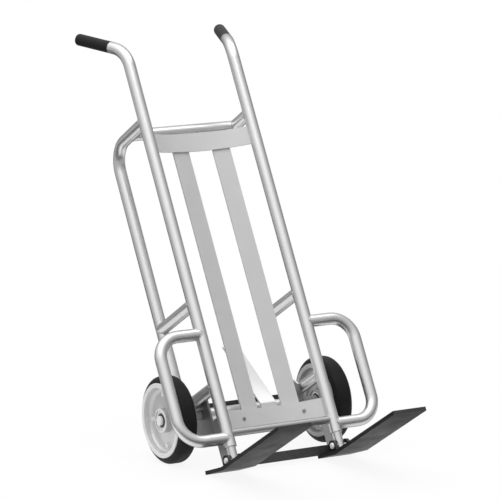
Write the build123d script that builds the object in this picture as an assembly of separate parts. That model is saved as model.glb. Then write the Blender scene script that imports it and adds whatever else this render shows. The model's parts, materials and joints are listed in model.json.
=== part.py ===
from build123d import *
import math
import os

# Two-wheeled tubular hand truck with a two-tine fork toe, parked on its wheels and fork heels.
# Every piece is drawn in the truck's own frame, in millimetres: x runs across, y backwards from the
# plane of the main tube axes, z up along the main tubes from the top face of the fork tines.
# The finished pieces are then leaned back until wheels and heels share one floor.

# Driving dimensions: tubes of the frame
TRACK = 345.0  # between the two main tube axes
TUBE_D = 35.0
TUBE_WALL = 2.5
TUBE_FOOT_Z = 64.0  # lower end of the main tubes
HANDLE_CORNER_Z = 1271.5  # where tube axis and handle axis would meet
HANDLE_BEND = 55.9  # degrees away from the tube's own direction
HANDLE_SPLAY = 24.0  # degrees outwards, seen along the tubes
HANDLE_BEND_R = 86.0
HANDLE_NECK = 13.5  # bare straight tube between bend and grip
GRIP_LENGTH = 131.0
GRIP_WALL = 3.0
GRIP_END_WALL = 6.0
GRIP_END_ROUND = 7.0

GUARD_OUT = 144.0  # guard leg axis outside the main tube axis
GUARD_RISE = 9.0  # lower guard arm above the foot of the main tube
GUARD_HIGH_Z = 400.0
GUARD_BEND_R = 66.0

LOOP_BACK = 215.0  # rear leg axis behind the main tube axis
LOOP_LOW_Z = 242.5
LOOP_HIGH_Z = 1050.0
LOOP_BEND_R = 71.0
STRUT_Z = 490.0
CROSSBAR_BACK = 101.5

# Driving dimensions: back rest
BAR_W = 55.0  # flat bar stock of plates, slats and foot plate
BAR_T = 5.0
BOW_DEPTH = 29.0  # how far the plates bow backwards at mid width
TOP_PLATE_Z = 984.0  # middle of the top plate
LOW_PLATE_Z = 144.0  # middle of the bottom plate
SLAT_GAP = 11.0  # between a slat and the foot plate, seen from ahead
SLAT_END = 6.0  # slat ends stop short of the plates' far edges
RAIL_D = 21.5
RAIL_GAP = 2.2  # between rail and bottom plate
SCREW_D = 5.0
SCREW_HEAD_D = 11.0
SCREW_HEAD_H = 3.0
SCREW_HEAD_ROUND = 2.0
SCREW_NUT_AF = 8.0
SCREW_NUT_H = 4.0
SCREW_NUT_GAP = 1.0  # between nut and slat
SCREW_END = 1.0  # thread past the nut

# Driving dimensions: foot plate
FOOT_W = 50.0
FOOT_LEAN = 30.4  # degrees between the foot plate and the tubes
FOOT_RISE = 14.5  # bend line above the bottom plate
FOOT_LENGTH = 249.0
FOOT_BEND_R = 8.0

# Driving dimensions: wheels and axle
WHEEL_D = 250.0
WHEEL_CLEAR = 13.5  # between tyre and guard
WHEEL_SIDE_CLEAR = 31.5  # between rim and rear loop
TYRE_HEIGHT = 29.0
TYRE_SHOULDER_R = 18.0
RIM_LIP = 10.5  # flange above the tyre seat
RIM_FLANGE_T = 4.0
RIM_HALF_W = 32.5
RIM_SHEET = 3.0
RIM_DISC_X = 4.0  # inner face of a rim disc from the wheel's mid plane, at the tyre seat
RIM_DISH = 4.0  # how much further out the disc stands at the hub
RIM_BOWL_R = 15.0  # hollow corner between disc and flange
RIM_PAD_R = 10.0
RIM_PAD_SPREAD = 3.0
RIM_PAD_H = 3.5
RIM_PAD_GAP = 7.3  # between bolt pad and tyre seat wall
RIM_BOLT_COUNT = 4
RIM_BOLT_D = 8.0
RIM_HEAD_AF = 13.0
RIM_HEAD_H = 5.5
RIM_NUT_H = 6.5
RIM_BOLT_END = 2.5  # thread past the nut
RIM_BOLT_TURN = 20.6  # degrees from straight back to the first bolt
HUB_WALL = 11.5
HUB_HALF_W = 29.0
HUB_CHAMFER = 1.2
HUB_LIP_W = 5.0  # raised rim of the hub's ends
HUB_LIP_H = 3.0
BEARING_SECTION = 13.5  # from bore to outside
BEARING_W = 14.0
BEARING_RECESS = 0.5
BEARING_RING_T = 3.5
BALL_COUNT = 9
BALL_CLEAR = 0.25
SEAL_T = 1.0
SEAL_RECESS = 0.5
SEAL_CLEAR = 0.4
SHAFT_D = 20.0
SHAFT_PAST_BEARING = 6.5
SPACER_WALL = 4.0
SPACER_DROP = 3.3  # axle spacers under the lower arm of the rear loops
WASHER_T = 1.5
CAP_WALL = 4.0
CAP_TOP = 3.5
AXLE_PLATE_T = 6.0
AXLE_PLATE_AHEAD = 57.5  # plate edges, measured from the axle
AXLE_PLATE_BEHIND = 49.0
AXLE_PLATE_BELOW = 88.0
AXLE_PLATE_RISE = 9.0  # top edge above the lower arm of the rear loop
AXLE_PLATE_CUT = 22.0
AXLE_PLATE_ROUND = 22.0  # upper rear corner
AXLE_PLATE_LOW_ROUND = 45.0
TREAD_BAR_W = 14.0  # square section
TREAD_BAR_BEHIND = 14.0  # its lower front edge, measured from the axle
TREAD_BAR_ABOVE = 21.3

# Driving dimensions: fork
TINE_W = 107.0
TINE_T = 11.0
TINE_TOP_Z = 3.0  # top face
TINE_OUTSIDE = 64.0  # tine edge outside the main tube axis
TINE_REACH = 388.0
TINE_CORNER_R = 3.0
HEEL_BEND_BACK = -32.5  # bend line, ahead of the tube axis
HEEL_BACK = 62.3  # heel tip behind the tube axis
HEEL_ANGLE = 11.0
HEEL_BEND_R = 15.0
PEG_D = 26.5
PEG_IN_TUBE = 60.0
EAR_T = 8.5
EAR_GAP = 35.0  # between the two ears of a tine
EAR_R = 20.0  # rounded top
EAR_BACK = 2.0  # middle of an ear, behind the tube axis
EAR_Z = 22.5  # middle of its rounded top
EAR_HOLE_BACK = -4.0
EAR_HOLE_Z = 25.0
FORK_BOLT_D = 10.0
FORK_HEAD_D = 19.0
FORK_HEAD_H = 6.2
FORK_HEAD_ROUND = 5.0
FORK_BOLT_END = 2.0  # thread past the nut
FORK_NUT_AF = 17.0
FORK_NUT_H = 8.0
UPRIGHT_T = 8.0
UPRIGHT_INSET = 0.3  # ahead of the heel tip
UPRIGHT_TOP_Z = 160.0
UPRIGHT_TOE_GAP = 3.0  # under the foot of the main tube
TIE_BAR_INSET = 3.3  # tie bar ahead of the heel tips
TIE_BAR_T = 10.0
TIE_BAR_TOP_Z = 44.0
TIE_BAR_DROP = 3.0  # between the tines, below their top faces

# Clearances
FIT = 0.05  # radial play of a part seated on its neighbour
PEG_PLAY = 0.5  # between upright and peg

# Worked out from the above
TUBE_R = TUBE_D / 2
TUBE_X = TRACK / 2
TUBE_BORE_R = TUBE_R - TUBE_WALL
GRIP_START = HANDLE_BEND_R * math.tan(math.radians(HANDLE_BEND / 2)) + HANDLE_NECK
GUARD_LOW_Z = TUBE_FOOT_Z + GUARD_RISE + TUBE_R
BOW_R = (TUBE_X ** 2 + BOW_DEPTH ** 2) / (2 * BOW_DEPTH)
BOW_CENTRE_Y = BOW_DEPTH - BOW_R
LOW_PLATE_FOOT_Z = LOW_PLATE_Z - BAR_W / 2
RAIL_Z = LOW_PLATE_FOOT_Z - RAIL_GAP - RAIL_D / 2
SLAT_X = BAR_W + SLAT_GAP
SCREW_X = SLAT_X + BAR_W / 2 + SCREW_NUT_GAP + SCREW_NUT_AF / 2
FOOT_BEND_Z = LOW_PLATE_Z + BAR_W / 2 + FOOT_RISE
SHAFT_R = SHAFT_D / 2
BEARING_R = SHAFT_R + BEARING_SECTION
BEARING_OUT = HUB_HALF_W - HUB_LIP_H - BEARING_RECESS
HUB_R = BEARING_R + HUB_WALL
WHEEL_R = WHEEL_D / 2
WHEEL_X = TUBE_X + TUBE_R + WHEEL_SIDE_CLEAR + RIM_HALF_W
WHEEL_BACK = TUBE_R + WHEEL_CLEAR + WHEEL_R
WHEEL_Z = LOOP_LOW_Z - TUBE_R - SPACER_DROP - SPACER_WALL - SHAFT_R
RIM_SEAT_R = WHEEL_R - TYRE_HEIGHT
RIM_WALL_R = RIM_SEAT_R - RIM_SHEET
RIM_FLANGE_R = RIM_SEAT_R + RIM_LIP
RIM_BOLT_CIRCLE_R = RIM_WALL_R - RIM_PAD_GAP - RIM_PAD_SPREAD - RIM_PAD_R
AXLE_PLATE_X = TUBE_X - TUBE_R  # outer face, tangent to the loop arms
UPRIGHT_BACK = HEEL_BACK - UPRIGHT_INSET
TIE_BAR_BACK = HEEL_BACK - TIE_BAR_INSET - TIE_BAR_T
HEEL_SLOPE = math.tan(math.radians(HEEL_ANGLE))
LONG = 4000.0  # longer than anything on the truck


def rod(start, end, radius):
    """Solid round bar between two points."""
    line = Line(start, end)
    return extrude(Plane(line @ 0, z_dir=line % 0) * Circle(radius), line.length)


def pipe(points, bend_radius, diameter, wall):
    """Round tube along straight runs that are joined by bends of one radius."""
    path = FilletPolyline(*points, radius=bend_radius)
    section = Circle(diameter / 2) - Circle(diameter / 2 - wall)
    return sweep(Plane(path @ 0, z_dir=path % 0) * section, path=path)


def sheet(outline, low_x, high_x):
    """Flat plate across x from an outline of (y, z) points."""
    return extrude(Plane.YZ.offset(low_x) * Polygon(*outline, align=None), high_x - low_x)


def ring(low_x, high_x, inner_radius, outer_radius):
    """Ring about the x axis."""
    return extrude(Plane.YZ.offset(low_x) * (Circle(outer_radius) - Circle(inner_radius)), high_x - low_x)


def disc(low_x, high_x, radius):
    """Solid round disc about the x axis."""
    return extrude(Plane.YZ.offset(low_x) * Circle(radius), high_x - low_x)


def hexagon(low_x, high_x, across_flats):
    """Hexagonal block about the x axis."""
    flat = RegularPolygon(across_flats / 2, 6, major_radius=False)
    return extrude(Plane.YZ.offset(low_x) * flat, high_x - low_x)


def circles(shape, radius):
    """The circular edges of one radius."""
    return [edge for edge in shape.edges().filter_by(GeomType.CIRCLE) if abs(edge.radius - radius) < FIT]


def other_side(shape):
    """The same piece on the left side of the truck."""
    return mirror(shape, about=Plane.YZ)


def main_tube_core(x=TUBE_X):
    """Space filled by a main tube, for coping what is welded to it."""
    return rod((x, 0, -LONG / 2), (x, 0, LONG / 2), TUBE_R)


def across_core(x, z):
    """Space filled by a tube that runs backwards at one height."""
    return rod((x, -LONG / 2, z), (x, LONG / 2, z), TUBE_R)


def below_heels():
    """Everything under the top face of the raised tine heels."""
    block = Box(LONG, LONG, LONG, align=(Align.CENTER, Align.CENTER, Align.MAX))
    return Pos(0, HEEL_BEND_BACK, TINE_TOP_Z) * Rot(HEEL_ANGLE, 0, 0) * block


# Main tubes and grips
def handle_direction():
    bend = math.radians(HANDLE_BEND)
    splay = math.radians(HANDLE_SPLAY)
    level = math.sin(bend)
    return Vector(level * math.sin(splay), level * math.cos(splay), math.cos(bend))


def handle_point(distance):
    """Point on the right handle's axis, so far past the corner."""
    return Vector(TUBE_X, 0, HANDLE_CORNER_Z) + handle_direction() * distance


def main_tube():
    foot = (TUBE_X, 0, TUBE_FOOT_Z)
    corner = (TUBE_X, 0, HANDLE_CORNER_Z)
    tube = pipe([foot, corner, handle_point(GRIP_START)], HANDLE_BEND_R, TUBE_D, TUBE_WALL)
    spigot_plane = Plane(handle_point(GRIP_START), z_dir=handle_direction())
    spigot_r = TUBE_R - GRIP_WALL
    spigot = Circle(spigot_r) - Circle(spigot_r - TUBE_WALL)
    collar = Circle(TUBE_R) - Circle(spigot_r - TUBE_WALL)
    tube += extrude(spigot_plane * collar, -TUBE_WALL)
    return tube + extrude(spigot_plane * spigot, GRIP_LENGTH - GRIP_END_WALL)


def grip():
    plane = Plane(handle_point(GRIP_START), z_dir=handle_direction())
    body = extrude(plane * Circle(TUBE_R), GRIP_LENGTH)
    far_edge = body.edges().sort_by(Axis(plane.origin, plane.z_dir))[-1]
    body = fillet(far_edge, GRIP_END_ROUND)
    bore = TUBE_R - GRIP_WALL + FIT
    return body - extrude(plane * Circle(bore), GRIP_LENGTH - GRIP_END_WALL)


# Side guards, rear loops, struts and crossbar
def wheel_guard():
    leg_x = TUBE_X + GUARD_OUT
    points = [(TUBE_X, 0, GUARD_HIGH_Z), (leg_x, 0, GUARD_HIGH_Z)]
    points += [(leg_x, 0, GUARD_LOW_Z), (TUBE_X, 0, GUARD_LOW_Z)]
    return pipe(points, GUARD_BEND_R, TUBE_D, TUBE_WALL) - main_tube_core()


def rear_loop():
    points = [(TUBE_X, 0, LOOP_HIGH_Z), (TUBE_X, LOOP_BACK, LOOP_HIGH_Z)]
    points += [(TUBE_X, LOOP_BACK, LOOP_LOW_Z), (TUBE_X, 0, LOOP_LOW_Z)]
    return pipe(points, LOOP_BEND_R, TUBE_D, TUBE_WALL) - main_tube_core()


def strut():
    start = (TUBE_X, 0, STRUT_Z)
    end = (TUBE_X, LOOP_BACK, STRUT_Z)
    tube = rod(start, end, TUBE_R) - rod(start, end, TUBE_BORE_R)
    leg = rod((TUBE_X, LOOP_BACK, 0), (TUBE_X, LOOP_BACK, LONG), TUBE_R)
    return tube - main_tube_core() - leg


def top_crossbar():
    start = (-TUBE_X, CROSSBAR_BACK, LOOP_HIGH_Z)
    end = (TUBE_X, CROSSBAR_BACK, LOOP_HIGH_Z)
    tube = rod(start, end, TUBE_R) - rod(start, end, TUBE_BORE_R)
    return tube - across_core(TUBE_X, LOOP_HIGH_Z) - across_core(-TUBE_X, LOOP_HIGH_Z)


# Back rest: two bowed plates, two slats and a rail
def bowed_plate(middle_z):
    """Flat bar bowed backwards between the main tubes."""
    arc = Circle(BOW_R + BAR_T / 2) - Circle(BOW_R - BAR_T / 2)
    window = Pos(0, BOW_R) * Rectangle(TRACK, 4 * BOW_DEPTH)
    band = Pos(0, BOW_CENTRE_Y, middle_z - BAR_W / 2) * (arc & window)
    return extrude(band, BAR_W) - main_tube_core() - main_tube_core(-TUBE_X)


def bow_place(x):
    """Frame on the bowed plates' middle surface: x along the plate, y backwards."""
    turn = math.asin(x / BOW_R)
    y = BOW_CENTRE_Y + BOW_R * math.cos(turn)
    return Pos(x, y, 0) * Rot(0, 0, -math.degrees(turn))


def slat():
    low_z = LOW_PLATE_FOOT_Z + SLAT_END
    high_z = TOP_PLATE_Z + BAR_W / 2 - SLAT_END
    length = high_z - low_z
    return bow_place(SLAT_X) * Pos(0, BAR_T, (low_z + high_z) / 2) * Box(BAR_W, BAR_T, length)


def bottom_rail():
    start = (-TUBE_X, 0, RAIL_Z)
    end = (TUBE_X, 0, RAIL_Z)
    tube = rod(start, end, RAIL_D / 2) - rod(start, end, RAIL_D / 2 - TUBE_WALL)
    return tube - main_tube_core() - main_tube_core(-TUBE_X)


def screw_place(x):
    """Frame on the bottom plate's middle surface with its x axis pointing backwards."""
    return bow_place(x) * Pos(0, 0, LOW_PLATE_Z) * Rot(0, 0, 90)


def plate_with_holes():
    plate = bowed_plate(LOW_PLATE_Z)
    for x in (-SCREW_X, SCREW_X):
        plate -= screw_place(x) * disc(-BAR_T, BAR_T, SCREW_D / 2 + FIT)
    return plate


def plate_screw(x):
    front = -BAR_T / 2 - FIT
    head = disc(front - SCREW_HEAD_H, front, SCREW_HEAD_D / 2)
    head = fillet(head.edges().group_by(Axis.X)[0], SCREW_HEAD_ROUND)
    shank = disc(front, BAR_T / 2 + FIT + SCREW_NUT_H + SCREW_END, SCREW_D / 2)
    return screw_place(x) * (head + shank)


def plate_nut(x):
    back = BAR_T / 2 + FIT
    nut = hexagon(back, back + SCREW_NUT_H, SCREW_NUT_AF) - disc(back, LONG, SCREW_D / 2 + FIT)
    return screw_place(x) * nut


def foot_plate():
    """Flat bar fastened behind the bottom plate at mid width, bent backwards above it."""
    lean = math.radians(FOOT_LEAN)
    front_y = BOW_DEPTH + BAR_T / 2
    middle_y = front_y + BAR_T / 2
    foot = (0, middle_y, LOW_PLATE_FOOT_Z + SLAT_END)
    knee = (0, middle_y, FOOT_BEND_Z)
    tip = (0, middle_y + FOOT_LENGTH * math.sin(lean), FOOT_BEND_Z + FOOT_LENGTH * math.cos(lean))
    path = FilletPolyline(foot, knee, tip, radius=FOOT_BEND_R)
    section = Plane(path @ 0, x_dir=(1, 0, 0), z_dir=path % 0) * Rectangle(FOOT_W, BAR_T)
    return sweep(section, path=path)


# Axle and what carries it
def at_axle(shape):
    return Pos(0, WHEEL_BACK, WHEEL_Z) * shape


def axle_plate():
    front = WHEEL_BACK - AXLE_PLATE_AHEAD
    rear = WHEEL_BACK + AXLE_PLATE_BEHIND
    low = WHEEL_Z - AXLE_PLATE_BELOW
    high = LOOP_LOW_Z + TUBE_R + AXLE_PLATE_RISE
    outline = [(front, low), (rear, low), (rear, high)]
    outline += [(front + AXLE_PLATE_CUT, high), (front, high - AXLE_PLATE_CUT)]
    plate = sheet(outline, AXLE_PLATE_X - AXLE_PLATE_T, AXLE_PLATE_X)
    corners = plate.edges().filter_by(Axis.X)
    rear_top = corners.group_by(Axis.Z)[-1].sort_by(Axis.Y)[-1]
    plate = fillet(rear_top, AXLE_PLATE_ROUND)
    low_corners = plate.edges().filter_by(Axis.X).group_by(Axis.Z)[0]
    plate = fillet(low_corners, AXLE_PLATE_LOW_ROUND)
    return plate - at_axle(disc(0, LONG, SHAFT_R + FIT))


def axle_tube():
    half = AXLE_PLATE_X - AXLE_PLATE_T
    return at_axle(ring(-half, half, SHAFT_R + FIT, TUBE_R))


def tread_bar():
    """Square bar above and behind the axle tube, between the axle plates."""
    half = AXLE_PLATE_X - AXLE_PLATE_T
    front_y = WHEEL_BACK + TREAD_BAR_BEHIND
    low_z = WHEEL_Z + TREAD_BAR_ABOVE
    outline = [(front_y, low_z), (front_y + TREAD_BAR_W, low_z)]
    outline += [(front_y + TREAD_BAR_W, low_z + TREAD_BAR_W), (front_y, low_z + TREAD_BAR_W)]
    return sheet(outline, -half, half)


def axle_shaft():
    half = WHEEL_X + BEARING_OUT + SHAFT_PAST_BEARING
    return at_axle(disc(-half, half, SHAFT_R))


def axle_spacer():
    end = WHEEL_X - BEARING_OUT
    return at_axle(ring(AXLE_PLATE_X, end, SHAFT_R + FIT, SHAFT_R + SPACER_WALL))


def axle_washer():
    start = WHEEL_X + BEARING_OUT
    return at_axle(ring(start, start + WASHER_T, SHAFT_R + FIT, SHAFT_R + BEARING_RING_T))


def axle_cap():
    start = WHEEL_X + BEARING_OUT + WASHER_T
    shaft_end = WHEEL_X + BEARING_OUT + SHAFT_PAST_BEARING
    cap = disc(start, shaft_end + CAP_TOP, SHAFT_R + CAP_WALL)
    cap = fillet(cap.edges().group_by(Axis.X)[-1], CAP_TOP - FIT)
    return at_axle(cap - disc(0, shaft_end + FIT, SHAFT_R + FIT))


# Wheels, drawn about the x axis with the wheel's mid plane at x = 0 and its outside towards +x
def at_wheel(shape):
    return Pos(WHEEL_X, WHEEL_BACK, WHEEL_Z) * shape


def bolt_places():
    for index in range(RIM_BOLT_COUNT):
        yield Rot(RIM_BOLT_TURN + 360 / RIM_BOLT_COUNT * index, 0, 0) * Pos(0, RIM_BOLT_CIRCLE_R, 0)


def tyre():
    half = RIM_HALF_W - RIM_FLANGE_T - FIT
    body = ring(-half, half, RIM_SEAT_R + FIT, WHEEL_R)
    return fillet(circles(body, WHEEL_R), TYRE_SHOULDER_R)


def rim_section():
    """Outline of a rim half, x along the axle and y as the radius."""
    flange_x = RIM_HALF_W - RIM_FLANGE_T
    disc_face = RIM_DISC_X + RIM_SHEET
    hub_r = HUB_R + FIT
    bowl_corner = (disc_face, RIM_WALL_R)
    lip_corners = [(RIM_HALF_W, RIM_FLANGE_R), (RIM_HALF_W, RIM_WALL_R)]
    points = [(0, RIM_WALL_R), (0, RIM_SEAT_R), (flange_x, RIM_SEAT_R), (flange_x, RIM_FLANGE_R)]
    points += lip_corners + [bowl_corner, (disc_face + RIM_DISH, hub_r)]
    points += [(RIM_DISC_X + RIM_DISH, hub_r), (RIM_DISC_X, RIM_WALL_R)]
    section = Polygon(*points, align=None)
    for corner in lip_corners:
        section = fillet(section.vertices().sort_by_distance(corner)[0], RIM_FLANGE_T / 2 - FIT)
    return fillet(section.vertices().sort_by_distance(bowl_corner)[0], RIM_BOWL_R)


def rim_half():
    """Outer half of the rim: flange, tyre seat, dished disc and bolt pads."""
    half = revolve(rim_section(), axis=Axis.X)
    standing = (Align.CENTER, Align.CENTER, Align.MIN)
    pad = Cone(RIM_PAD_R + RIM_PAD_SPREAD, RIM_PAD_R, RIM_PAD_H, align=standing)
    for place in bolt_places():
        half += place * Pos(RIM_DISC_X + RIM_SHEET, 0, 0) * Rot(0, 90, 0) * pad
    for place in bolt_places():
        half -= place * disc(0, LONG, RIM_BOLT_D / 2 + FIT)
    return half


def hub():
    body = ring(-HUB_HALF_W, HUB_HALF_W, SHAFT_R + SPACER_WALL + SEAL_CLEAR, HUB_R)
    body = chamfer(circles(body, HUB_R), HUB_CHAMFER)
    lip_recess = (HUB_HALF_W - HUB_LIP_H, HUB_R - HUB_LIP_W)
    bearing_seat = (BEARING_OUT - BEARING_W, BEARING_R + FIT)
    for depth, radius in (lip_recess, bearing_seat):
        body -= disc(depth, LONG, radius)
        body -= disc(-LONG, -depth, radius)
    return body


def bearing_sides():
    """Low and high x of the inner and the outer bearing."""
    inside = BEARING_OUT - BEARING_W
    return ((-BEARING_OUT, -inside), (inside, BEARING_OUT))


def bearing_outer_rings():
    return [ring(low, high, BEARING_R - BEARING_RING_T, BEARING_R) for low, high in bearing_sides()]


def bearing_inner_rings():
    return [ring(low, high, SHAFT_R + FIT, SHAFT_R + BEARING_RING_T) for low, high in bearing_sides()]


def bearing_balls():
    inner = SHAFT_R + BEARING_RING_T
    outer = BEARING_R - BEARING_RING_T
    ball = Sphere((outer - inner) / 2 - BALL_CLEAR)
    balls = []
    for low, high in bearing_sides():
        for index in range(BALL_COUNT):
            turn = Rot(360 / BALL_COUNT * index, 0, 0)
            balls.append(turn * Pos((low + high) / 2, (inner + outer) / 2, 0) * ball)
    return balls


def bearing_seals():
    inner = SHAFT_R + BEARING_RING_T + SEAL_CLEAR
    outer = BEARING_R - BEARING_RING_T
    seals = []
    for low, high in bearing_sides():
        for start in (low + SEAL_RECESS, high - SEAL_RECESS - SEAL_T):
            seals.append(ring(start, start + SEAL_T, inner, outer))
    return seals


def rim_bolts():
    seat_x = RIM_DISC_X + RIM_SHEET + RIM_PAD_H
    head = hexagon(seat_x, seat_x + RIM_HEAD_H, RIM_HEAD_AF)
    shank = disc(-seat_x - RIM_NUT_H - RIM_BOLT_END, seat_x, RIM_BOLT_D / 2)
    return [place * (head + shank) for place in bolt_places()]


def rim_nuts():
    seat_x = -RIM_DISC_X - RIM_SHEET - RIM_PAD_H
    nut = hexagon(seat_x - RIM_NUT_H, seat_x, RIM_HEAD_AF) - disc(-LONG, 0, RIM_BOLT_D / 2 + FIT)
    return [place * nut for place in bolt_places()]


# Fork: two tines with raised heels, pegs, ears, uprights and tie bar
def heel_top_z(y):
    return TINE_TOP_Z + (y - HEEL_BEND_BACK) * HEEL_SLOPE


def heel_underside_tip():
    angle = math.radians(HEEL_ANGLE)
    return HEEL_BACK + TINE_T * math.sin(angle), heel_top_z(HEEL_BACK) - TINE_T * math.cos(angle)


def tine():
    bend_low_y = HEEL_BEND_BACK + TINE_T * math.tan(math.radians(HEEL_ANGLE / 2))
    low_z = TINE_TOP_Z - TINE_T
    outline = [(-TINE_REACH, low_z), (bend_low_y, low_z), heel_underside_tip()]
    outline += [(HEEL_BACK, heel_top_z(HEEL_BACK)), (HEEL_BEND_BACK, TINE_TOP_Z), (-TINE_REACH, TINE_TOP_Z)]
    outer_x = TUBE_X + TINE_OUTSIDE
    plate = sheet(outline, outer_x - TINE_W, outer_x)
    front_corners = plate.edges().filter_by(Axis.Z).group_by(Axis.Y)[0]
    plate = fillet(front_corners, TINE_CORNER_R)
    across = plate.edges().filter_by(Axis.X)
    top_bend = [edge for edge in across if abs(edge.center().Y - HEEL_BEND_BACK) < FIT]
    return fillet(top_bend, HEEL_BEND_R)


def fork_peg():
    """Peg between tine and main tube, drilled for the fork bolt; its thick end is seated in the tube."""
    thin = rod((TUBE_X, 0, 0), (TUBE_X, 0, TUBE_FOOT_Z), PEG_D / 2)
    thick = rod((TUBE_X, 0, TUBE_FOOT_Z), (TUBE_X, 0, TUBE_FOOT_Z + PEG_IN_TUBE), TUBE_BORE_R - FIT)
    return thin + thick - fork_bolt_hole() - below_heels()


def fork_bolt_place(x=0.0):
    return Pos(x, EAR_HOLE_BACK, EAR_HOLE_Z)


def fork_bolt_hole():
    return fork_bolt_place() * disc(-LONG, LONG, FORK_BOLT_D / 2 + FIT)


def ear_faces():
    """Low and high face of the left and of the right ear, from the middle of the peg."""
    near = EAR_GAP / 2
    return (-near - EAR_T, -near), (near, near + EAR_T)


def fork_ears(x):
    """Two ears with round tops on a tine heel, one on each side of the peg."""
    front, back = EAR_BACK - EAR_R, EAR_BACK + EAR_R
    outline = [(front, 0), (back, 0), (back, EAR_Z), (front, EAR_Z)]
    ears = []
    for low_x, high_x in ear_faces():
        round_top = Pos(x, EAR_BACK, EAR_Z) * disc(low_x, high_x, EAR_R)
        ear = sheet(outline, x + low_x, x + high_x) + round_top
        ears.append(ear - fork_bolt_hole() - below_heels())
    return ears


def fork_bolt(x):
    seat = ear_faces()[0][0]
    nut_seat = ear_faces()[1][1]
    head = disc(seat - FORK_HEAD_H, seat, FORK_HEAD_D / 2)
    head = fillet(head.edges().group_by(Axis.X)[0], FORK_HEAD_ROUND)
    shank = disc(seat, nut_seat + FORK_NUT_H + FORK_BOLT_END, FORK_BOLT_D / 2)
    return fork_bolt_place(x) * (head + shank)


def fork_nut(x):
    seat = ear_faces()[1][1]
    nut = hexagon(seat, seat + FORK_NUT_H, FORK_NUT_AF) - disc(0, LONG, FORK_BOLT_D / 2 + FIT)
    return fork_bolt_place(x) * nut


def fork_upright():
    """Plate from the heel up the back of the main tube, with a toe under the tube's foot."""
    toe_y = PEG_D / 2 + PEG_PLAY
    toe_z = TUBE_FOOT_Z - UPRIGHT_TOE_GAP
    outline = [(toe_y, 0), (UPRIGHT_BACK, 0), (UPRIGHT_BACK, UPRIGHT_TOP_Z), (TUBE_R, UPRIGHT_TOP_Z)]
    outline += [(TUBE_R, toe_z), (toe_y, toe_z)]
    plate = sheet(outline, TUBE_X - UPRIGHT_T / 2, TUBE_X + UPRIGHT_T / 2)
    rear_top = plate.edges().filter_by(Axis.X).group_by(Axis.Z)[-1].sort_by(Axis.Y)[-1]
    return fillet(rear_top, UPRIGHT_T) - below_heels()


def tie_bar():
    """Bar across the tine heels that reaches further down between them."""
    half = TUBE_X - UPRIGHT_T / 2
    between = TUBE_X + TINE_OUTSIDE - TINE_W - FIT
    outline = [(TIE_BAR_BACK, 0), (TIE_BAR_BACK + TIE_BAR_T, 0)]
    outline += [(TIE_BAR_BACK + TIE_BAR_T, TIE_BAR_TOP_Z), (TIE_BAR_BACK, TIE_BAR_TOP_Z)]
    middle = sheet(outline, -between, between) - Pos(0, 0, -TIE_BAR_DROP) * below_heels()
    return sheet(outline, -half, half) - below_heels() + middle


# All nodes, in the truck's own frame
def truck_nodes():
    nodes = {}
    paired = {
        "main_tube": main_tube(),
        "grip": grip(),
        "wheel_guard": wheel_guard(),
        "rear_loop": rear_loop(),
        "strut": strut(),
        "slat": slat(),
        "axle_plate": axle_plate(),
        "fork_tine": tine(),
        "fork_peg": fork_peg(),
        "fork_upright": fork_upright(),
        "tyre": at_wheel(tyre()),
        "outer_rim": at_wheel(rim_half()),
        "inner_rim": at_wheel(mirror(rim_half(), about=Plane.YZ)),
        "hub": at_wheel(hub()),
        "bearing_outer_rings": [at_wheel(piece) for piece in bearing_outer_rings()],
        "bearing_balls": [at_wheel(piece) for piece in bearing_balls()],
        "bearing_seals": [at_wheel(piece) for piece in bearing_seals()],
        "rim_bolts": [at_wheel(piece) for piece in rim_bolts()],
        "rim_nuts": [at_wheel(piece) for piece in rim_nuts()],
    }
    for name, shape in paired.items():
        pieces = shape if isinstance(shape, list) else [shape]
        nodes["right_" + name] = pieces
        nodes["left_" + name] = [other_side(piece) for piece in pieces]
    shared = {
        "bearing_inner_rings": [at_wheel(piece) for piece in bearing_inner_rings()],
        "axle_spacers": [axle_spacer()],
        "axle_washers": [axle_washer()],
        "axle_caps": [axle_cap()],
    }
    for name, pieces in shared.items():
        nodes[name] = pieces + [other_side(piece) for piece in pieces]
    nodes["top_crossbar"] = [top_crossbar()]
    nodes["top_plate"] = [bowed_plate(TOP_PLATE_Z)]
    nodes["bottom_plate"] = [plate_with_holes()]
    nodes["bottom_rail"] = [bottom_rail()]
    nodes["plate_screws"] = [plate_screw(x) for x in (-SCREW_X, SCREW_X)]
    nodes["plate_nuts"] = [plate_nut(x) for x in (-SCREW_X, SCREW_X)]
    nodes["foot_plate"] = [foot_plate()]
    nodes["axle_tube"] = [axle_tube()]
    nodes["tread_bar"] = [tread_bar()]
    nodes["axle_shaft"] = [axle_shaft()]
    nodes["fork_ears"] = [ear for x in (-TUBE_X, TUBE_X) for ear in fork_ears(x)]
    nodes["fork_bolts"] = [fork_bolt(x) for x in (-TUBE_X, TUBE_X)]
    nodes["fork_nuts"] = [fork_nut(x) for x in (-TUBE_X, TUBE_X)]
    nodes["fork_tie_bar"] = [tie_bar()]
    return nodes


def park_lean():
    """Lean in degrees at which the wheels and the heel tips touch one floor."""
    heel_y, heel_z = heel_underside_tip()
    back = WHEEL_BACK - heel_y
    up = WHEEL_Z - heel_z
    return math.degrees(math.acos(WHEEL_R / math.hypot(back, up)) - math.atan2(back, up))


def parked(nodes):
    """Lean the truck back and set the middle of its footprint on the origin."""
    leaned = {name: [Rot(-park_lean(), 0, 0) * piece for piece in pieces] for name, pieces in nodes.items()}
    box = Compound([piece for pieces in leaned.values() for piece in pieces]).bounding_box()
    shift = Pos(0, -(box.min.Y + box.max.Y) / 2, -box.min.Z)
    return {name: [shift * piece for piece in pieces] for name, pieces in leaned.items()}


os.makedirs("parts", exist_ok=True)
for node_name, node_pieces in parked(truck_nodes()).items():
    solids = [solid for piece in node_pieces for solid in piece.solids()]
    shape = solids[0] if len(solids) == 1 else Compound(solids)
    export_step(shape, f"parts/{node_name}.step")
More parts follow.
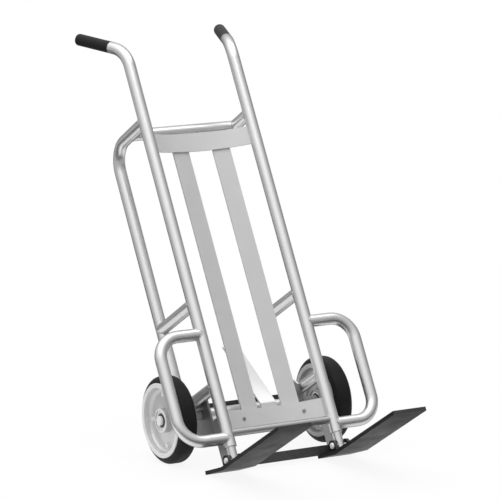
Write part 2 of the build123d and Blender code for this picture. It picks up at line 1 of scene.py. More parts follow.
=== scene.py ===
import json
import math
import bmesh
import bpy
from mathutils import Matrix, Vector


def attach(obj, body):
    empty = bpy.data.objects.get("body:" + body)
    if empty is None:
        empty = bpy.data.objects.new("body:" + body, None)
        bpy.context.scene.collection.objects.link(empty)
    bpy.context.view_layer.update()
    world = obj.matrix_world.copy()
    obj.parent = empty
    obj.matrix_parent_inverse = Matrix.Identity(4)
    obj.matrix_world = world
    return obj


# Looks of a two-wheeled tubular hand truck with a two-tine fork toe. Everything is in metres.
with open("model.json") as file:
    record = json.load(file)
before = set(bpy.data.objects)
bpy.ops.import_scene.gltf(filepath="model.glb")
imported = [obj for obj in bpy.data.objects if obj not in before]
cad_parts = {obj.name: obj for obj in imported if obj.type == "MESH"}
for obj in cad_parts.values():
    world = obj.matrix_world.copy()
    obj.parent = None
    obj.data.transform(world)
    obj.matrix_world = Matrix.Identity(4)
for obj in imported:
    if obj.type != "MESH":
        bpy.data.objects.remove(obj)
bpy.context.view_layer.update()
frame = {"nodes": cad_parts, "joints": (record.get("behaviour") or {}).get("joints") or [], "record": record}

# Camera of the photograph, angles in degrees
AIM_FROM_AXLE = Vector((0.00897, -0.00273, 0.4625))
DISTANCE = 9.55606
AZIMUTH = -29.842
ELEVATION = 10.405
ROLL = -0.205
LENS_MM = 242.44
SENSOR_MM = 36.0
CLIP_END = 200.0

# Sizes below are in the truck's own frame: x runs across, y backwards from the plane of the main tubes,
# z up along them
TUBE_X = 0.1725
TUBE_R = 0.0175
TUBE_FOOT_Z = 0.064
GUARD_HEIGHTS = (0.0905, 0.4)
LOOP_HEIGHTS = (0.2425, 1.05)
LOOP_BACK = 0.215
LOOP_BEND_R = 0.071
STRUT_Z = 0.49
CROSSBAR_BACK = 0.1015

# Back rest
PLATE_HEIGHTS = (0.144, 0.984)
BAR_W = 0.055
BAR_T = 0.005
BOW_DEPTH = 0.029
RAIL_R = 0.01075
RAIL_GAP = 0.0022
RAIL_Z = PLATE_HEIGHTS[0] - BAR_W / 2 - RAIL_GAP - RAIL_R

# Axle and wheels
AXLE_BACK = 0.156
AXLE_Z = 0.2077
AXLE_PLATE_X = TUBE_X - TUBE_R  # outer face
AXLE_PLATE_T = 0.006
AXLE_PLATE_AHEAD = 0.0355  # from the axle to where the plate starts to touch the rear loop
RIM_WALL_R = 0.093  # the bright edge of the discs starts here
RIM_WALL_SOFT = 0.001
HUB_INNER_X = 0.23  # the bright outer end of the hub sets in between these
HUB_OUTER_X = 0.25

# Fork
UPRIGHT_T = 0.008
UPRIGHT_TOP_Z = 0.16
EAR_T = 0.0085
EAR_GAP = 0.035
EAR_BACK = 0.002
EAR_R = 0.02
TIE_BAR_BACK = 0.049
TINE_W = 0.107
TINE_OUTSIDE = 0.064
TINE_TOP_Z = 0.003
HEEL_BEND_BACK = -0.0325
HEEL_ANGLE = 11.0  # degrees

# Weld beads
BEAD_R = 0.0016
BEAD_PITCH = 0.0034
BEAD_RIPPLE = 0.16
BEAD_SIDES = 8
BEAD_STEP = 0.0011

# The truck's own frame inside the parked one
LEAN = math.asin(frame["record"]["mounts"][0]["axis"][1])
AXLE_AT = Vector((0.0, *frame["joints"][0]["pos_m"][1:]))
TO_PARKED = (
    Matrix.Translation(AXLE_AT)
    @ Matrix.Rotation(-LEAN, 4, "X")
    @ Matrix.Translation((0.0, -AXLE_BACK, -AXLE_Z))
)
SIDES = {"left": -1.0, "right": 1.0}
X = Vector((1, 0, 0))
Y = Vector((0, 1, 0))
Z = Vector((0, 0, 1))

# Where the patterns of a material set in, and where they are complete
NOISE_SPREAD = (0.3, 0.7)  # most of a noise's values
SIDEWAYS_SPREAD = (0.3, 0.7)  # squared cosine between a face's normal and the axle
UPWARD_SPREAD = (0.6, 0.8)  # cosine between a face's normal and the upright
EDGE_SPREAD = (0.99, 0.86)  # cosine between a normal and the same one on a rounded shape
DUST_SPREAD = (0.4, 0.75)
RUBBED_SPREAD = (0.45, 0.6)
EDGE_SAMPLES = 4

# Grain of metal along the truck's axes
DRAW_LINES = (0.0012, 0.0012, 0.06)
ACROSS = (0.05, 0.0009, 0.0009)
UPWARDS = (0.0009, 0.0009, 0.05)

# Colours of aluminium, as parts of a tone
DRAWN_LIGHT = (1.045, 1.045, 1.05)
DRAWN_DARK = (0.965, 0.965, 0.97)
ROLLED_LIGHT = (1.0, 1.0, 1.005)


def grey(tone):
    return (tone, tone, tone)


def scaled(numbers, factor):
    return tuple(factor * number for number in numbers)


def opaque(colour):
    """A colour as a socket holds it."""
    return (*colour, 1.0)


class Nodes:
    """Short forms that add nodes to a node tree."""

    def __init__(self, tree):
        self.tree = tree

    def put(self, socket, value):
        """Link an output to an input, or set the input to a value."""
        if isinstance(value, bpy.types.NodeSocket):
            self.tree.links.new(value, socket)
        else:
            socket.default_value = value

    def node(self, kind, inputs=None, **settings):
        """New node with its settings, and its inputs set or linked."""
        node = self.tree.nodes.new(kind)
        for name, value in settings.items():
            setattr(node, name, value)
        for name, value in (inputs or {}).items():
            self.put(node.inputs[name], value)
        return node

    def coordinates(self, kind="Object"):
        return self.node("ShaderNodeTexCoord").outputs[kind]

    def axis(self, vector, name):
        """X, Y or Z of a vector."""
        return self.node("ShaderNodeSeparateXYZ", {0: vector}).outputs[name]

    def vectors(self, operation, first, second=(0.0, 0.0, 0.0)):
        return self.node("ShaderNodeVectorMath", {0: first, 1: second}, operation=operation).outputs

    def maths(self, operation, first, second):
        return self.node("ShaderNodeMath", {0: first, 1: second}, operation=operation).outputs[0]

    def remap(self, value, low, high, to_low, to_high):
        inputs = {"Value": value, "From Min": low, "From Max": high, "To Min": to_low, "To Max": to_high}
        return self.node("ShaderNodeMapRange", inputs).outputs["Result"]

    def share(self, value, start, end):
        """0 up to a start value and 1 from an end value on."""
        return self.remap(value, start, end, 0.0, 1.0)


class Finish(Nodes):
    """A material with a principled shader and the nodes that feed it."""

    def __init__(self, name, colour, metallic, roughness):
        self.material = bpy.data.materials.new(name)
        self.material.use_nodes = True
        super().__init__(self.material.node_tree)
        self.shader = self.tree.nodes["Principled BSDF"]
        self.normal = None
        self.feed("Base Color", opaque(colour))
        self.feed("Metallic", metallic)
        self.feed("Roughness", roughness)

    def feed(self, socket, value):
        """Set or link an input of the shader."""
        self.put(self.shader.inputs[socket], value)

    def along(self, sizes, lean=0.0):
        """Coordinates measured in grain sizes, in a frame that can lean like the truck."""
        inputs = {"Vector": self.coordinates(), "Rotation": (lean, 0.0, 0.0), "Scale": sizes}
        return self.node("ShaderNodeMapping", inputs, vector_type="TEXTURE").outputs["Vector"]

    def noise(self, size, detail=3.0, lean=0.0):
        """Cloudy noise of one grain size, or of a size along each axis."""
        sizes = size if isinstance(size, tuple) else (size, size, size)
        inputs = {"Vector": self.along(sizes, lean), "Scale": 1.0, "Detail": detail}
        return self.node("ShaderNodeTexNoise", inputs).outputs["Fac"]

    def cells(self, size):
        """Distance from the middle of cells of one size."""
        inputs = {"Vector": self.along((size, size, size)), "Scale": 1.0}
        return self.node("ShaderNodeTexVoronoi", inputs).outputs["Distance"]

    def radius(self):
        """Distance from the axle."""
        moved = self.vectors("SUBTRACT", self.coordinates(), AXLE_AT)[0]
        flat = self.vectors("MULTIPLY", moved, (0.0, 1.0, 1.0))[0]
        return self.vectors("LENGTH", flat)["Value"]

    def rings(self, per_metre):
        """Noise that changes only with the distance from the axle."""
        inputs = {"W": self.radius(), "Scale": per_metre}
        return self.node("ShaderNodeTexNoise", inputs, noise_dimensions="1D").outputs["Fac"]

    def facing_sideways(self):
        """1 on faces square to the axle, 0 on faces along it."""
        across = self.axis(self.node("ShaderNodeNewGeometry").outputs["Normal"], "X")
        return self.share(self.maths("MULTIPLY", across, across), *SIDEWAYS_SPREAD)

    def facing_up(self):
        """1 on faces that look up on the parked truck."""
        upwards = self.axis(self.node("ShaderNodeNewGeometry").outputs["Normal"], "Z")
        return self.share(upwards, *UPWARD_SPREAD)

    def edges(self, radius):
        """About 1 on sharp edges and 0 on open faces."""
        rounded = self.node("ShaderNodeBevel", {"Radius": radius}, samples=EDGE_SAMPLES).outputs["Normal"]
        plain = self.node("ShaderNodeNewGeometry").outputs["Normal"]
        return self.share(self.vectors("DOT_PRODUCT", rounded, plain)["Value"], *EDGE_SPREAD)

    def blend(self, factor, first, second):
        """Mix of two colours, each a tuple or an output."""
        node = self.node("ShaderNodeMix", data_type="RGBA")
        sockets = {socket.name: socket for socket in node.inputs if socket.enabled}
        self.put(sockets["Factor"], factor)
        for name, colour in (("A", first), ("B", second)):
            self.put(sockets[name], opaque(colour) if isinstance(colour, tuple) else colour)
        return next(socket for socket in node.outputs if socket.enabled)

    def tint(self, factor, first, second):
        """Colour the surface by a mix of two colours."""
        self.feed("Base Color", self.blend(factor, first, second))

    def roughen(self, pattern, smooth, rough, spread=NOISE_SPREAD):
        """Let a pattern vary the roughness between two values."""
        self.feed("Roughness", self.remap(pattern, *spread, smooth, rough))

    def emboss(self, pattern, depth, strength=1.0):
        """Let a pattern raise the surface, on top of what was embossed before."""
        inputs = {"Height": pattern, "Distance": depth, "Strength": strength}
        if self.normal is not None:
            inputs["Normal"] = self.normal
        self.normal = self.node("ShaderNodeBump", inputs).outputs["Normal"]
        self.feed("Normal", self.normal)


# Materials
def drawn_tube(name, tone, roughness):
    """Drawn aluminium tube: satin, with faint draw lines and handling smudges."""
    light = scaled(DRAWN_LIGHT, tone)
    dark = scaled(DRAWN_DARK, tone)
    finish = Finish(name, light, metallic=0.95, roughness=roughness)
    finish.feed("Specular Tint", opaque(grey(0.1)))  # painted shade: a dark tint on grazing reflections darkens the tube edges
    smudges = finish.noise(size=0.09)
    streaks = finish.noise(DRAW_LINES, detail=2.0, lean=LEAN)
    worn = finish.maths("ADD", smudges, streaks)
    worn_spread = scaled(NOISE_SPREAD, 2.0)
    finish.tint(smudges, dark, light)
    finish.roughen(worn, smooth=roughness - 0.05, rough=roughness + 0.05, spread=worn_spread)
    finish.emboss(streaks, depth=0.000012)
    finish.emboss(finish.noise(size=0.0018, detail=2.0), depth=0.000006)
    return finish.material


def flat_bar(name, grain, tone, lit_top_tone):
    """Rolled aluminium bar: matt, fine lines along its length, painted light on faces that look up."""
    light = scaled(ROLLED_LIGHT, tone)
    dark = scaled(light, 0.91)
    finish = Finish(name, light, metallic=0.5, roughness=0.6)
    finish.feed("Specular IOR Level", 0.2)
    lines = finish.noise(grain, lean=LEAN)
    sides = finish.blend(finish.noise(size=0.06), dark, light)
    # faces that look up take the top tone, which is painted light from above
    finish.tint(finish.facing_up(), sides, grey(lit_top_tone))
    finish.roughen(lines, smooth=0.54, rough=0.66)
    finish.emboss(lines, depth=0.00008)
    return finish.material


def cut_plate(name, shaded_face_tone, lit_edge_tone):
    """Plate cut from rolled stock: faces darkened as painted shade, upward edges painted light."""
    light = grey(shaded_face_tone)
    dark = scaled(light, 0.85)
    finish = Finish(name, light, metallic=0.8, roughness=0.42)
    finish.feed("Specular IOR Level", 0.2)
    lines = finish.noise(UPWARDS, lean=LEAN)
    faces = finish.blend(finish.noise(size=0.05), dark, light)
    # faces that look up take the edge tone as painted light; the face tone is painted shade
    finish.tint(finish.facing_up(), faces, grey(lit_edge_tone))
    finish.roughen(lines, smooth=0.36, rough=0.48)
    finish.emboss(lines, depth=0.00008)
    return finish.material


def rim_metal(name, tone):
    """Silver enamel on the pressed discs, with a bright rolled edge."""
    light = grey(1.05 * tone)
    dark = grey(0.95 * tone)
    edge = grey(min(1.24 * tone, 0.98))
    finish = Finish(name, grey(tone), metallic=0.35, roughness=0.4)
    finish.feed("Anisotropic", 0.75)
    tangent = finish.node("ShaderNodeTangent", direction_type="RADIAL", axis="X").outputs["Tangent"]
    finish.feed("Tangent", tangent)
    on_edge = finish.share(finish.radius(), RIM_WALL_R - RIM_WALL_SOFT, RIM_WALL_R + RIM_WALL_SOFT)
    clouds = finish.noise(size=0.03)
    finish.tint(on_edge, finish.blend(clouds, dark, light), edge)
    finish.feed("Metallic", finish.remap(on_edge, 0.0, 1.0, to_low=0.6, to_high=0.05))
    finish.roughen(clouds, smooth=0.32, rough=0.44)
    finish.emboss(finish.noise(size=0.0014, detail=2.0), depth=0.00005)
    return finish.material


def cast_hub(name):
    """Cast hub: dull barrel, bright turned outer end, inner end dim as painted shade."""
    cast_and_shade_dark = grey(0.5)
    cast_and_shade_light = grey(0.58)
    turned_dark = grey(0.93)
    turned_light = grey(0.97)
    finish = Finish(name, grey(0.6), metallic=0.2, roughness=0.4)
    barrel = finish.blend(finish.noise(size=0.01), cast_and_shade_dark, cast_and_shade_light)
    turned = finish.blend(finish.noise(size=0.02), turned_dark, turned_light)
    across = finish.axis(finish.coordinates(), "X")
    outer = finish.share(finish.maths("MULTIPLY", across, across), HUB_INNER_X ** 2, HUB_OUTER_X ** 2)
    # the inner end keeps the dim tone, which is painted shade
    finish.tint(finish.maths("MULTIPLY", finish.facing_sideways(), outer), barrel, turned)
    grain = finish.noise(size=0.0012)
    finish.roughen(grain, smooth=0.34, rough=0.5)
    finish.emboss(grain, depth=0.00005)
    return finish.material


def turned_metal(name, colour, metallic, roughness):
    """Lathe-turned metal with fine rings about the axle."""
    dull = scaled(colour, 0.9)
    finish = Finish(name, colour, metallic, roughness)
    rings = finish.rings(per_metre=2600.0)
    finish.tint(finish.noise(size=0.02), dull, colour)
    finish.roughen(rings, smooth=roughness - 0.05, rough=roughness + 0.08)
    finish.emboss(rings, depth=0.00003)
    return finish.material


def zinc_plate(name, tone, metallic, roughness):
    """Zinc plated fasteners and bars with slightly patchy plating."""
    light = grey(tone)
    dark = scaled(light, 0.88)
    finish = Finish(name, light, metallic, roughness)
    finish.tint(finish.cells(size=0.004), light, dark)
    finish.roughen(finish.noise(size=0.006), smooth=roughness - 0.06, rough=roughness + 0.08)
    finish.emboss(finish.noise(size=0.0006, detail=2.0), depth=0.00002)
    return finish.material


def black_enamel(name, paint, rubbed_paint):
    """Black paint with orange peel, dusty patches and rubbed edges, and painted shade on the sides."""
    dusty_paint = scaled(paint, 1.6)
    shaded_side_paint = scaled(paint, 0.5)
    finish = Finish(name, paint, metallic=0.0, roughness=0.38)
    dust = finish.noise(size=0.05, detail=5.0)
    sideways = finish.facing_sideways()
    patches = finish.share(finish.noise(size=0.012), *RUBBED_SPREAD)
    rubbed = finish.maths("MULTIPLY", finish.edges(radius=0.0012), patches)
    dusty = finish.blend(finish.share(dust, *DUST_SPREAD), paint, dusty_paint)
    # painted shade: faces square to the axle take a darker paint, and below a weaker reflection
    finish.tint(rubbed, finish.blend(sideways, dusty, shaded_side_paint), rubbed_paint)
    finish.feed("Specular IOR Level", finish.remap(sideways, 0.0, 1.0, to_low=0.5, to_high=0.08))
    finish.roughen(dust, smooth=0.32, rough=0.5)
    finish.emboss(finish.noise(size=0.0022, detail=2.0), depth=0.00006)
    return finish.material


def tyre_rubber(name):
    """Smooth solid rubber with faint moulding rings and a trace of dust."""
    clean = (0.008, 0.008, 0.0083)
    dusty = (0.015, 0.015, 0.0153)
    finish = Finish(name, (0.01, 0.01, 0.0105), metallic=0.0, roughness=0.55)
    finish.feed("Specular IOR Level", 0.22)
    dust = finish.noise(size=0.035, detail=5.0)
    finish.tint(dust, clean, dusty)
    finish.roughen(dust, smooth=0.48, rough=0.66)
    finish.emboss(finish.rings(per_metre=900.0), depth=0.00012)
    finish.emboss(finish.noise(size=0.0012), depth=0.00006)
    return finish.material


def grip_rubber(name):
    """Moulded rubber with a fine pebbled grain."""
    fresh = (0.009, 0.009, 0.0093)
    worn = (0.018, 0.018, 0.0184)
    finish = Finish(name, (0.014, 0.014, 0.0145), metallic=0.0, roughness=0.6)
    finish.feed("Specular IOR Level", 0.3)
    wear = finish.noise(size=0.03, detail=4.0)
    finish.tint(wear, fresh, worn)
    finish.roughen(wear, smooth=0.52, rough=0.7)
    finish.emboss(finish.cells(size=0.0014), depth=0.0003, strength=0.6)
    return finish.material


def seal_rubber(name):
    """Dark moulded rubber of the bearing seals."""
    dark = grey(0.015)
    light = grey(0.03)
    finish = Finish(name, grey(0.02), metallic=0.0, roughness=0.5)
    finish.tint(finish.noise(size=0.004), dark, light)
    finish.emboss(finish.noise(size=0.0006, detail=2.0), depth=0.00003)
    return finish.material


def weld_metal(name):
    """Weld bead: duller than the tube, with a crystalline skin."""
    dark = (0.62, 0.62, 0.63)
    light = (0.78, 0.78, 0.79)
    finish = Finish(name, (0.72, 0.72, 0.725), metallic=0.95, roughness=0.55)
    skin = finish.noise(size=0.0015)
    finish.tint(skin, dark, light)
    finish.roughen(skin, smooth=0.48, rough=0.62)
    finish.emboss(skin, depth=0.00006)
    return finish.material


FINISHES = {
    "tube": drawn_tube("satin_tube", tone=0.85, roughness=0.3),
    # painted shade: the rail's darker tone stands for the shadow of the bottom plate above it
    "rail": drawn_tube("plate_shaded_rail", tone=0.5, roughness=0.42),
    "upright_bar": flat_bar("upright_bar", UPWARDS, tone=0.735, lit_top_tone=0.735),
    "cross_bar": flat_bar("cross_bar", ACROSS, tone=0.77, lit_top_tone=0.77),
    # the foot plate's upward face is painted light from above
    "bent_bar": flat_bar("bent_bar", UPWARDS, tone=0.72, lit_top_tone=0.97),
    # the dark face tones of these plates are painted shade, their upward edges painted light
    "side_plate": cut_plate("side_plate", shaded_face_tone=0.4, lit_edge_tone=0.8),
    "axle_plate": cut_plate("axle_plate", shaded_face_tone=0.26, lit_edge_tone=0.9),
    "rim": rim_metal("rim_metal", tone=0.74),
    # the inner discs' darker tone is painted shade from the truck beside them
    "inner_rim": rim_metal("inner_rim", tone=0.5),
    "hub": cast_hub("hub_metal"),
    "cap": turned_metal("axle_cap", grey(0.97), metallic=0.1, roughness=0.25),
    "bearing": turned_metal("bearing_steel", (0.5, 0.5, 0.51), metallic=1.0, roughness=0.2),
    "zinc": zinc_plate("zinc_plate", tone=0.82, metallic=1.0, roughness=0.3),
    # painted shade: the plate screws' dark tone stands for the shade in and around their heads
    "screw": zinc_plate("shade_dark_zinc", tone=0.35, metallic=1.0, roughness=0.42),
    "bolt": zinc_plate("bright_zinc", tone=0.97, metallic=0.15, roughness=0.3),
    "fork": black_enamel("fork_black", paint=(0.036, 0.036, 0.0365), rubbed_paint=grey(0.09)),
    "black_bar": black_enamel("black_bar", paint=grey(0.03), rubbed_paint=grey(0.06)),
    "tyre": tyre_rubber("tyre_rubber"),
    "grip": grip_rubber("grip_rubber"),
    "seal": seal_rubber("seal_rubber"),
    "weld": weld_metal("weld_metal"),
}

# Finish of each CAD node; a paired node is named without its side
NODE_FINISHES = {
    "tube": "main_tube wheel_guard rear_loop strut top_crossbar axle_tube",
    "rail": "bottom_rail",
    "upright_bar": "slat",
    "bent_bar": "foot_plate",
    "side_plate": "fork_upright",
    "axle_plate": "axle_plate",
    "cross_bar": "top_plate bottom_plate",
    "rim": "outer_rim",
    "inner_rim": "inner_rim",
    "hub": "hub axle_spacers",
    "cap": "axle_caps",
    "bearing": "bearing_outer_rings bearing_inner_rings bearing_balls axle_washers",
    "zinc": "rim_nuts plate_nuts fork_peg axle_shaft",
    "screw": "plate_screws",
    "bolt": "fork_bolts fork_nuts rim_bolts",
    "fork": "fork_tine fork_ears fork_tie_bar",
    "black_bar": "tread_bar",
    "tyre": "tyre",
    "grip": "grip",
    "seal": "bearing_seals",
}


def dress_nodes():
    """Give every CAD node its finish."""
    finish_of = {node: finish for finish, nodes in NODE_FINISHES.items() for node in nodes.split()}
    for node in frame["nodes"]:
        name = node.removeprefix("left_").removeprefix("right_")
        materials = bpy.data.objects[node].data.materials
        materials.clear()
        materials.append(FINISHES[finish_of[name]])


# Weld beads: paths of the seams in the truck's own frame
def angles(count):
    """Equal steps round a full turn."""
    return [math.tau * step / count for step in range(count)]


def saddle(at, axis, arm, radius):
    """Seam where an arm of some radius meets a tube of TUBE_R."""
    sideways = axis.cross(arm)
    points = []
    for turn in angles(round(math.tau * radius / BEAD_STEP)):
        across = radius * math.sin(turn)
        reach = math.sqrt(max(TUBE_R ** 2 - across ** 2, 0.0))
        points.append(at + axis * radius * math.cos(turn) + sideways * across + arm * reach)
    return points


def straight(start, end):
    """Seam in short steps between two points."""
    steps = max(2, round((end - start).length / BEAD_STEP))
    return [start.lerp(end, step / steps) for step in range(steps + 1)]


def circle_about_axle(x, radius):
    """Round seam about the axle."""
    turns = angles(round(math.tau * radius / BEAD_STEP))
    return [Vector((x, AXLE_BACK + radius * math.cos(t), AXLE_Z + radius * math.sin(t))) for t in turns]


def tube_seams(side):
    """Closed seams between the round tubes of one side."""
    outwards = X * side

    def on_side(y, z):
        return Vector((side * TUBE_X, y, z))

    seams = [saddle(on_side(0, z), Z, outwards, TUBE_R) for z in GUARD_HEIGHTS]
    seams += [saddle(on_side(0, z), Z, Y, TUBE_R) for z in (*LOOP_HEIGHTS, STRUT_Z)]
    seams.append(saddle(on_side(LOOP_BACK, STRUT_Z), Z, -Y, TUBE_R))
    seams.append(saddle(on_side(CROSSBAR_BACK, LOOP_HEIGHTS[1]), Y, -outwards, TUBE_R))
    seams.append(saddle(on_side(0, RAIL_Z), Z, -outwards, RAIL_R))
    seams.append(circle_about_axle(side * (AXLE_PLATE_X - AXLE_PLATE_T), TUBE_R))
    return seams


def plate_seams(side):
    """Seams between the bowed plates and the main tube of one side."""
    bow_r = (TUBE_X ** 2 + BOW_DEPTH ** 2) / (2.0 * BOW_DEPTH)
    tube_inside = TUBE_X - TUBE_R
    seams = []
    for face in (-BAR_T / 2, BAR_T / 2):
        y = BOW_DEPTH - bow_r + math.sqrt(bow_r ** 2 - tube_inside ** 2) + face
        x = TUBE_X - math.sqrt(TUBE_R ** 2 - y ** 2)
        for z in PLATE_HEIGHTS:
            middle = Vector((side * x, y, z))
            seams.append(straight(middle - Z * BAR_W / 2, middle + Z * BAR_W / 2))
    return seams


def axle_plate_seams(side):
    """Seams between axle plate and rear loop, over and under the line where they touch."""
    seams = []
    for rise in (-BEAD_R * 2, BEAD_R * 2):
        ahead = Vector((side * AXLE_PLATE_X, AXLE_BACK - AXLE_PLATE_AHEAD, LOOP_HEIGHTS[0] + rise))
        behind = Vector((side * AXLE_PLATE_X, LOOP_BACK - LOOP_BEND_R, LOOP_HEIGHTS[0] + rise))
        seams.append(straight(ahead, behind))
    return seams


def upright_seams(side):
    """Seams of the upright plate along the main tube."""
    seams = []
    for face in (-UPRIGHT_T / 2, UPRIGHT_T / 2):
        x = side * TUBE_X + face
        y = math.sqrt(TUBE_R ** 2 - face ** 2)
        seams.append(straight(Vector((x, y, TUBE_FOOT_Z)), Vector((x, y, UPRIGHT_TOP_Z))))
    return seams


def on_heel(x, y):
    """Point on the top face of the raised tine heels."""
    return Vector((x, y, TINE_TOP_Z + (y - HEEL_BEND_BACK) * math.tan(math.radians(HEEL_ANGLE))))


def fork_seams(side):
    """Seams of the ears and the tie bar on the tine heel."""
    inner_face = EAR_GAP / 2
    outer_face = inner_face + EAR_T
    seams = []
    for face in (-outer_face, -inner_face, inner_face, outer_face):
        x = side * TUBE_X + face
        seams.append(straight(on_heel(x, EAR_BACK - EAR_R), on_heel(x, EAR_BACK + EAR_R)))
    tine_inside = TUBE_X + TINE_OUTSIDE - TINE_W
    ends = [on_heel(side * x, TIE_BAR_BACK) for x in (tine_inside, TUBE_X - UPRIGHT_T / 2)]
    seams.append(straight(*ends))
    return seams


# Weld beads: meshes along those paths
def bead_rings(points, closed):
    """Points of a bead's rings, swelling and shrinking along a path."""
    count = len(points)
    turns = angles(BEAD_SIDES)
    rings = []
    travelled = 0.0
    for index, point in enumerate(points):
        ahead = points[(index + 1) % count] if closed or index + 1 < count else point
        behind = points[index - 1] if closed or index > 0 else point
        direction = (ahead - behind).normalized()
        side = direction.orthogonal().normalized()
        up = direction.cross(side)
        if index:
            travelled += (point - points[index - 1]).length
        radius = BEAD_R * (1.0 + BEAD_RIPPLE * math.cos(math.tau * travelled / BEAD_PITCH))
        rings.append([point + radius * (math.cos(t) * side + math.sin(t) * up) for t in turns])
    return rings


def nearest_shift(first, second):
    """How far the second ring is turned against the first."""
    return min(range(BEAD_SIDES), key=lambda s: (second[s].co - first[0].co).length)


def add_bead(mesh, points, closed):
    """Add one bead along a path to a bmesh."""
    rings = [[mesh.verts.new(TO_PARKED @ co) for co in ring] for ring in bead_rings(points, closed)]
    pairs = list(zip(rings, rings[1:]))
    if closed:
        pairs.append((rings[-1], rings[0]))
    for first, second in pairs:
        shift = nearest_shift(first, second)
        for step in range(BEAD_SIDES):
            after = (step + 1) % BEAD_SIDES
            facing_step = second[(step + shift) % BEAD_SIDES]
            facing_after = second[(after + shift) % BEAD_SIDES]
            mesh.faces.new((first[step], first[after], facing_after, facing_step))
    if not closed:
        mesh.faces.new(rings[0])
        mesh.faces.new(rings[-1])


def weld_piece(name, seams, finish, closed):
    """All beads of some seams as one piece of the frame."""
    mesh = bmesh.new()
    for seam in seams:
        add_bead(mesh, seam, closed)
    bmesh.ops.recalc_face_normals(mesh, faces=mesh.faces)
    data = bpy.data.meshes.new(name)
    mesh.to_mesh(data)
    mesh.free()
    data.materials.append(FINISHES[finish])
    for face in data.polygons:
        face.use_smooth = True
    piece = bpy.data.objects.new(name, data)
    bpy.context.collection.objects.link(piece)
    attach(piece, "frame")


dress_nodes()
for side_name, side in SIDES.items():
    weld_piece(f"{side_name}_tube_welds", tube_seams(side), "weld", closed=True)
    weld_piece(f"{side_name}_plate_welds", plate_seams(side), "weld", closed=False)
    weld_piece(f"{side_name}_axle_plate_welds", axle_plate_seams(side), "weld", closed=False)
    weld_piece(f"{side_name}_upright_welds", upright_seams(side), "weld", closed=False)
    weld_piece(f"{side_name}_fork_welds", fork_seams(side), "fork", closed=False)


# Stage: floor, light and camera
FLOOR_HALF = 30.0
PAPER_TONE = 0.95
SHEET_LEFT = (-1.05, -0.65)  # soft edges of the bright sheet that metal reflects
SHEET_FRONT = (-0.42, -0.2)
SHEET_BACK = (0.9, 1.7)
FAR_FADE = (1.8, 6.0)  # beyond the sheet the reflected floor slowly turns pale again
FAR_SHARES = (0.0, 0.5)
SHEET_TONES = (0.06, 0.9)  # reflected tone beside and on the sheet
MIRROR_SHARES = (0.03, 0.6)  # how much of it is plain white there
GLOW_FADE = (0.5, 1.8)  # how far the floor lights the truck from below
GLOW_TONES = (0.9, 0.25)
SHADOW_FADE = (0.7, 3.0)  # where the shadow on the white floor ends
SEEN_SHARES = (0.9, 1.0)
SKY_TONES = ((0.0, 0.2), (0.2, 0.3), (0.47, 0.5), (0.7, 0.6), (0.84, 0.9), (1.0, 0.86))  # by height
SKY_SIDES = (1.8, 0.75)  # strength on the left and on the right
BACKDROP_TOWARDS = (0.5, 0.866, 0.0)
BACKDROP_EDGE = (0.6, 0.92)
BACKDROP_TONE = 0.6
LAMPS = {  # place, target, width and watts
    "overhead": ((-0.6, -0.3, 4.6), (0.0, 0.0, 0.6), 3.2, 38.0),
    "right": ((2.0, 0.0, 4.4), (0.0, 0.0, 0.4), 1.6, 11.0),
}


def sheet_share(paper, place, distance):
    """1 on the bright sheet under and behind the truck, 0 beside it, rising again far away."""
    rightwards = paper.share(paper.axis(place, "X"), *SHEET_LEFT)
    backwards = paper.share(paper.axis(place, "Y"), *SHEET_FRONT)
    forwards = paper.remap(paper.axis(place, "Y"), *SHEET_BACK, 1.0, 0.0)
    near = paper.maths("MULTIPLY", rightwards, paper.maths("MULTIPLY", backwards, forwards))
    return paper.maths("MAXIMUM", near, paper.remap(distance, *FAR_FADE, *FAR_SHARES))


def floor_paper():
    """Paper that is white to the camera, with the soft shadow near the truck, and a sheet to metal."""
    paper = Finish("floor_paper", grey(PAPER_TONE), metallic=0.0, roughness=0.9)
    paper.feed("Specular IOR Level", 0.0)
    rays = paper.node("ShaderNodeLightPath").outputs
    mirrored = paper.maths("MAXIMUM", rays["Is Glossy Ray"], rays["Is Transmission Ray"])
    place = paper.coordinates()
    distance = paper.vectors("LENGTH", place)["Value"]
    sheet = sheet_share(paper, place, distance)

    shadow_end = paper.remap(distance, *SHADOW_FADE, *SEEN_SHARES)
    seen = paper.maths("MULTIPLY", rays["Is Camera Ray"], shadow_end)
    reflected = paper.maths("MULTIPLY", mirrored, paper.remap(sheet, 0.0, 1.0, *MIRROR_SHARES))
    white_share = paper.maths("MAXIMUM", seen, reflected)

    glow = paper.remap(distance, *GLOW_FADE, *GLOW_TONES)
    unseen = paper.blend(mirrored, glow, paper.remap(sheet, 0.0, 1.0, *SHEET_TONES))
    tone = paper.maths("MAXIMUM", rays["Is Camera Ray"], unseen)
    paper.feed("Base Color", paper.maths("MULTIPLY", tone, PAPER_TONE))

    white = paper.node("ShaderNodeEmission").outputs[0]
    mix = paper.node("ShaderNodeMixShader", {0: white_share, 1: paper.shader.outputs[0], 2: white})
    paper.put(paper.tree.nodes["Material Output"].inputs["Surface"], mix.outputs[0])
    return paper.material


def floor():
    """Wide pale floor under the truck."""
    data = bpy.data.meshes.new("floor")
    corners = [(x * FLOOR_HALF, y * FLOOR_HALF, 0.0) for x, y in ((-1, -1), (1, -1), (1, 1), (-1, 1))]
    data.from_pydata(corners, [], [(0, 1, 2, 3)])
    data.materials.append(floor_paper())
    plane = bpy.data.objects.new("floor", data)
    bpy.context.collection.objects.link(plane)


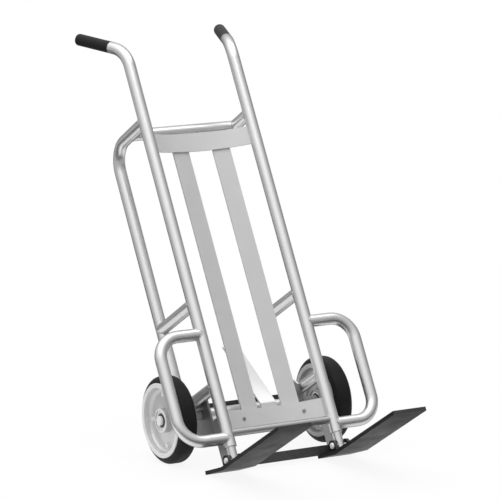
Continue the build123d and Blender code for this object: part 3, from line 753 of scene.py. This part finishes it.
def studio_world():
    """Soft room light: bright overhead and behind, dim near the horizon, brighter on the left."""
    world = bpy.data.worlds.new("studio")
    bpy.context.scene.world = world
    world.use_nodes = True
    sky = Nodes(world.node_tree)
    direction = sky.coordinates("Generated")
    ramp = sky.node("ShaderNodeValToRGB", {"Fac": sky.axis(direction, "Z")})
    stops = ramp.color_ramp.elements
    for height, _ in SKY_TONES[1:-1]:
        stops.new(height)
    for stop, (height, tone) in zip(stops, SKY_TONES):
        stop.position = height
        stop.color = opaque(grey(tone))
    sides = sky.remap(sky.axis(direction, "X"), -1.0, 1.0, *SKY_SIDES)
    room = sky.maths("MULTIPLY", ramp.outputs["Color"], sides)
    facing = sky.vectors("DOT_PRODUCT", direction, BACKDROP_TOWARDS)["Value"]
    backdrop = sky.remap(facing, *BACKDROP_EDGE, 0.0, BACKDROP_TONE)
    background = world.node_tree.nodes["Background"].inputs
    sky.put(background["Strength"], sky.maths("ADD", room, backdrop))
    sky.put(background["Color"], opaque(grey(1.0)))


def softbox(name, place, target, width, watts):
    """Square lamp that looks at a target."""
    data = bpy.data.lights.new(name, "AREA")
    data.size = width
    data.energy = watts
    lamp = bpy.data.objects.new(name, data)
    lamp.location = place
    lamp.rotation_euler = (Vector(target) - Vector(place)).to_track_quat("-Z", "Y").to_euler()
    bpy.context.collection.objects.link(lamp)


def camera():
    """Camera of the photograph, turned about a point above the axle."""
    data = bpy.data.cameras.new("camera")
    data.sensor_width = SENSOR_MM
    data.lens = LENS_MM
    data.clip_end = CLIP_END
    turn = (
        Matrix.Rotation(math.radians(AZIMUTH), 4, "Z")
        @ Matrix.Rotation(math.radians(90.0 - ELEVATION), 4, "X")
        @ Matrix.Rotation(math.radians(ROLL), 4, "Z")
    )
    away = Matrix.Translation((0.0, 0.0, DISTANCE))
    eye = bpy.data.objects.new("camera", data)
    eye.matrix_world = Matrix.Translation(AXLE_AT + AIM_FROM_AXLE) @ turn @ away
    bpy.context.collection.objects.link(eye)
    bpy.context.scene.camera = eye


floor()
studio_world()
for lamp_name, lamp_facts in LAMPS.items():
    softbox(lamp_name, *lamp_facts)
camera()
bpy.context.scene.view_settings.view_transform = "Standard"
